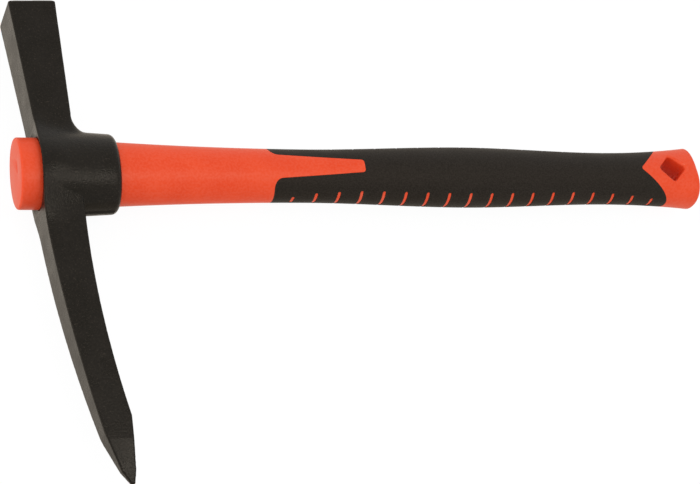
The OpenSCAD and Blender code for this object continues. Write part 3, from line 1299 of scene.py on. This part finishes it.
    def blend_weight(self, spot: Vector) -> float:
        """Gives how much a spot of the tool belongs to the blend between boss, arms and collar.

        Args:
            spot: Spot in the drawing, in millimetres.

        Returns:
            Weight from 0 to 1.
        """
        lead = self.blend_lead
        edge = self.fillet_top if spot.y > 0 else self.blend_edge
        begun = clamp((spot.x - self.outer_x) / lead - 1)
        left = clamp((self.eye_end - self.blend_end - spot.x) / lead)
        return begun * left * clamp((edge - abs(spot.y)) / lead)

    def soften(self, piece: Piece) -> None:
        """Melts the blend round the boss into one surface and leaves the rest of the forging crisp.

        Args:
            piece: Head that is changed.
        """
        guide = place_new("guide", piece.data.copy())
        modify(piece, "REMESH", mode="VOXEL", voxel_size=self.voxel * MM, use_smooth_shade=True)
        group = piece.vertex_groups.new(name="blend")
        for vert in piece.data.vertices:
            weight = self.blend_weight((vert.co - ORIGIN) / MM)
            if weight > 0:
                group.add([vert.index], weight, "REPLACE")
        rounds, blend = self.blend_rounds, group.name
        modify(piece, "SMOOTH", factor=self.blend_pull, iterations=rounds, vertex_group=blend)
        modify(piece, "SHRINKWRAP", target=guide, vertex_group=blend, invert_vertex_group=True)
        piece.vertex_groups.clear()
        bpy.data.objects.remove(guide)

    def build(self) -> Piece:
        """Models the whole head.

        Returns:
            The head.
        """
        piece = self.arms()
        combine(piece, self.collar(), Join.ADD)
        combine(piece, self.seam(), Join.ADD)
        combine(piece, self.eye(), Join.CUT)
        self.soften(piece)
        piece.name = "head"
        return piece


@dataclass
class HandleBody(SubAssembly):
    """The hard plastic moulding: button, neck, tongues, ribs under the slots and butt."""

    FINISH = ORANGE_PLASTIC

    form: HandleForm
    skin: SkinLayout
    hole: HangingHole
    smooth_angle: float = 32.0
    gate_at: tuple[float, float, float] = (-2.25, 1.4, 4.6)
    gate_size: tuple[float, float, float] = (2.6, 9.0, 3.4)
    gate_sides: int = 48
    gate_rings: int = 24

    def gate(self) -> Piece:
        """Models the solid that cuts the shallow gate mark into the face of the button.

        Returns:
            The closed solid.
        """
        deselect_all()
        sides, rings = self.gate_sides, self.gate_rings
        middle = at(*self.gate_at)
        bpy.ops.mesh.primitive_uv_sphere_add(segments=sides, ring_count=rings, radius=MM, location=middle)
        ball = bpy.context.object
        ball.scale = self.gate_size
        bpy.ops.object.transform_apply(location=True, rotation=True, scale=True)
        return ball

    def build(self) -> Piece:
        """Models the body.

        Returns:
            The body.
        """
        skin = self.skin
        piece = self.form.whole("body")
        combine(piece, skin.space("bare", skin.gap), Join.CUT)
        start = skin.start - skin.thickness
        end = skin.skin_end() + skin.thickness
        under = self.form.stretch("under", start, end, skin.thickness + skin.gap)
        ribs = self.form.stretch("ribs", skin.start, end, skin.rib_sink)
        combine(ribs, skin.slots("rib_space", skin.slot_w - 2 * skin.gap), Join.COMMON)
        combine(under, ribs, Join.ADD)
        combine(piece, under, Join.ADD)
        combine(piece, self.hole.solid("hole"), Join.CUT)
        combine(piece, self.gate(), Join.CUT)
        smooth_by_angle(piece, self.smooth_angle)
        return piece


@dataclass
class SoftGrip(SubAssembly):
    """The soft rubber skin over the body, open at its slots."""

    FINISH = BLACK_RUBBER

    form: HandleForm
    skin: SkinLayout
    overrun: float = 3.0
    smooth_angle: float = 32.0

    def build(self) -> Piece:
        """Models the skin.

        Returns:
            The skin.
        """
        skin = self.skin
        start = skin.start - self.overrun
        end = skin.skin_end() + self.overrun
        piece = self.form.stretch("grip", start, end, 0.0)
        combine(piece, skin.space("skin_space", 0.0), Join.COMMON)
        inner = self.form.stretch("inner", start - self.overrun, end + self.overrun, skin.thickness)
        combine(piece, inner, Join.CUT)
        combine(piece, skin.slots("slots", skin.slot_w), Join.CUT)
        smooth_by_angle(piece, self.smooth_angle)
        return piece


class CoreRod(SubAssembly):
    """The hidden rod inside the body, which keeps the shape that it has in the frame."""

    FINISH = GLASS_FIBRE

    def build(self) -> Piece:
        """Gives the rod of the frame."""
        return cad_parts["core_rod"]


@dataclass(frozen=True)
class Lamp:
    """A square soft lamp: its place and size in metres and its power in watts."""

    name: str
    place: tuple[float, float, float]
    size: float
    power: float


@dataclass
class Studio:
    """Camera, lamps, floor and world of the picture."""

    lens: float = 99.2
    sensor: float = 36.0
    camera_at: tuple[float, float, float] = (-205.2, -470.4, 870.7)
    camera_right: tuple[float, float, float] = (0.9301, -0.1668, 0.3273)
    camera_up: tuple[float, float, float] = (0.0042, 0.8958, 0.4444)
    floor_size: float = 12.0
    floor_colour: Colour = (0.88, 0.88, 0.88, 1)
    mirrored_colour: Colour = (0.94, 0.85, 0.73, 1)
    white_level: float = 1.03
    seen_part: float = 0.93
    world_level: float = 0.84
    lamps_at: tuple[Lamp, ...] = (
        Lamp("key", (-1.05, 0.55, 0.95), 0.8, 1.2),
        Lamp("overhead", (0.19, -0.23, 1.38), 0.4, 2.6),
        Lamp("side", (-1.6, 0.0, 0.25), 0.6, 3.2),
    )

    def camera(self) -> None:
        """Sets the camera at the place from which the photograph was taken."""
        right = Vector(self.camera_right).normalized()
        back = right.cross(Vector(self.camera_up)).normalized()
        up = back.cross(right)
        lens = bpy.data.cameras.new("camera")
        lens.lens = self.lens
        lens.sensor_width = self.sensor
        lens.sensor_fit = "HORIZONTAL"
        holder = place_new("camera", lens)
        turn = Matrix((right, up, back)).transposed().to_4x4()
        holder.matrix_world = Matrix.Translation(at(*self.camera_at)) @ turn
        bpy.context.scene.camera = holder

    @staticmethod
    def seen(kit: NodeKit, path: bpy.types.Node) -> Socket:
        """Gives one for the rays of the camera and of reflections, and zero for all other light.

        Args:
            kit: Kit of the tree that the nodes go into.
            path: Light Path node of that tree.

        Returns:
            The output with that value.
        """
        rays = path.outputs
        straight = kit.reckon(Reckoning.GREATER, rays["Is Camera Ray"], rays["Is Glossy Ray"])
        return kit.reckon(Reckoning.GREATER, straight, rays["Is Transmission Ray"])

    def floor(self) -> None:
        """Lays a pale floor that shows white to the camera and in reflections and still takes shadows."""
        deselect_all()
        bpy.ops.mesh.primitive_plane_add(size=self.floor_size)
        plane = bpy.context.object
        plane.name = "floor"
        made = bpy.data.materials.new("pale_floor")
        made.use_nodes = True
        kit = NodeKit(made.node_tree)
        made.node_tree.nodes.clear()
        path = kit.add("ShaderNodeLightPath")
        matt = kit.add("ShaderNodeBsdfDiffuse")
        kit.fill(matt, {"Color": self.floor_colour})
        white = kit.add("ShaderNodeEmission")
        colour = kit.blend(path.outputs["Is Glossy Ray"], WHITE, self.mirrored_colour)
        kit.fill(white, {"Color": colour, "Strength": self.white_level})
        share = kit.reckon(Reckoning.TIMES, self.seen(kit, path), self.seen_part)
        shown = kit.add("ShaderNodeMixShader")
        kit.fill(shown, {"Fac": share, 1: matt.outputs["BSDF"], 2: white.outputs["Emission"]})
        kit.fill(kit.add("ShaderNodeOutputMaterial"), {"Surface": shown.outputs["Shader"]})
        plane.data.materials.append(made)

    def world(self) -> None:
        """Makes a plain pale room all round, which shows white to the camera and in reflections."""
        room = bpy.data.worlds.new("room")
        room.use_nodes = True
        bpy.context.scene.world = room
        kit = NodeKit(room.node_tree)
        seen = self.seen(kit, kit.add("ShaderNodeLightPath"))
        lift = kit.reckon(Reckoning.TIMES, seen, 1 - self.world_level)
        strength = kit.reckon(Reckoning.ADD, lift, self.world_level)
        kit.fill(room.node_tree.nodes["Background"], {"Color": WHITE, "Strength": strength})

    def lamps(self) -> None:
        """Hangs the soft lamps and turns them to the tool."""
        for plan in self.lamps_at:
            lamp = bpy.data.lights.new(plan.name, "AREA")
            lamp.shape = "SQUARE"
            lamp.size = plan.size
            lamp.energy = plan.power
            holder = place_new(plan.name, lamp)
            holder.location = plan.place
            holder.rotation_euler = (-Vector(plan.place)).to_track_quat("-Z", "Y").to_euler()

    def build(self) -> None:
        """Sets up the whole studio."""
        bpy.context.scene.view_settings.view_transform = "Standard"
        self.camera()
        self.floor()
        self.world()
        self.lamps()


def seat(piece: Piece, slot: str, node: str) -> None:
    """Ties a finished piece to the frame.

    Args:
        piece: Finished piece.
        slot: Material slot of the record; not used.
        node: Solid of the frame that the piece stands for.
    """
    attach(piece, "root")
    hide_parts(node)
    faces = len(piece.data.polygons)
    LOG.info("%s stands for %s with %d faces", piece.name, node, faces)


def main() -> None:
    """Builds and dresses every piece, seats the head, body and grip, then sets up the studio."""
    logging.basicConfig(level=logging.INFO, format="%(name)s: %(message)s")
    form = HandleForm()
    skin = SkinLayout(form)
    groups = SurfaceEffects().groups()
    plan = (
        (ForgedHead(form), "forged_head"),
        (HandleBody(form, skin, HangingHole(form)), "handle_body"),
        (SoftGrip(form, skin), "soft_grip"),
    )
    for maker, node in plan:
        piece = maker.build()
        maker.dress(piece, groups)
        seat(piece, maker.FINISH.name, node)
    rod = CoreRod()
    rod.dress(rod.build(), groups)
    LOG.info("core_rod keeps the shape of its solid")
    Studio().build()


if __name__ == "__main__":
    main()
